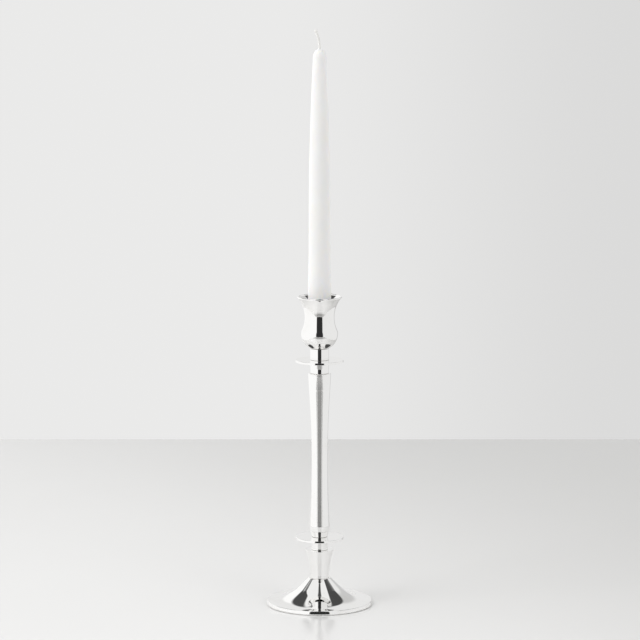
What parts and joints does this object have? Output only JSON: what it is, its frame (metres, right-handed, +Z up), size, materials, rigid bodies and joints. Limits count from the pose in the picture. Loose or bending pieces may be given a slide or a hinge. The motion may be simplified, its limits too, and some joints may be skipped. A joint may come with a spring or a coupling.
{
  "type": "candlestick",
  "caption": "Tall slim polished metal candlestick on a flared round foot, with a waisted stem, two thin discs and a flared cup that holds a taper candle.",
  "frame": {"origin": "on the surface the candlestick stands on, at the middle of the foot", "axes": "+Z up along the candlestick's axis; the wick's free end curls towards -X; X and Y are otherwise alike"},
  "size_m": [0.1026, 0.1026, 0.5562],
  "materials": {
    "polished_metal": "polished",
    "ballast_iron": "matte",
    "plain_steel": "satin",
    "brass_bush": "satin",
    "felt": "matte",
    "candle_wax": "satin",
    "wick_cotton": "matte"
  },
  "bodies": {
    "candlestick": {"foot": "polished_metal", "foot_weight": "ballast_iron", "bottom_plate": "plain_steel", "felt_pad": "felt", "pedestal": "polished_metal", "lower_neck": "polished_metal", "lower_disc": "polished_metal", "lower_collar": "polished_metal", "stem": "polished_metal", "lower_bush": "brass_bush", "upper_bush": "brass_bush", "upper_collar": "polished_metal", "upper_disc": "polished_metal", "neck": "polished_metal", "candle_cup": "polished_metal", "tie_rod": "plain_steel", "rod_nut": "plain_steel", "spring_washer": "plain_steel", "plain_washer": "plain_steel"},
    "candle": {"candle": "candle_wax", "wick": "wick_cotton"}
  },
  "joints": [
    {"name": "candle_lift", "type": "slide", "parent": "candlestick", "child": "candle", "axis": [0, 0, 1], "range_m": [0, 0.05]}
  ]
}
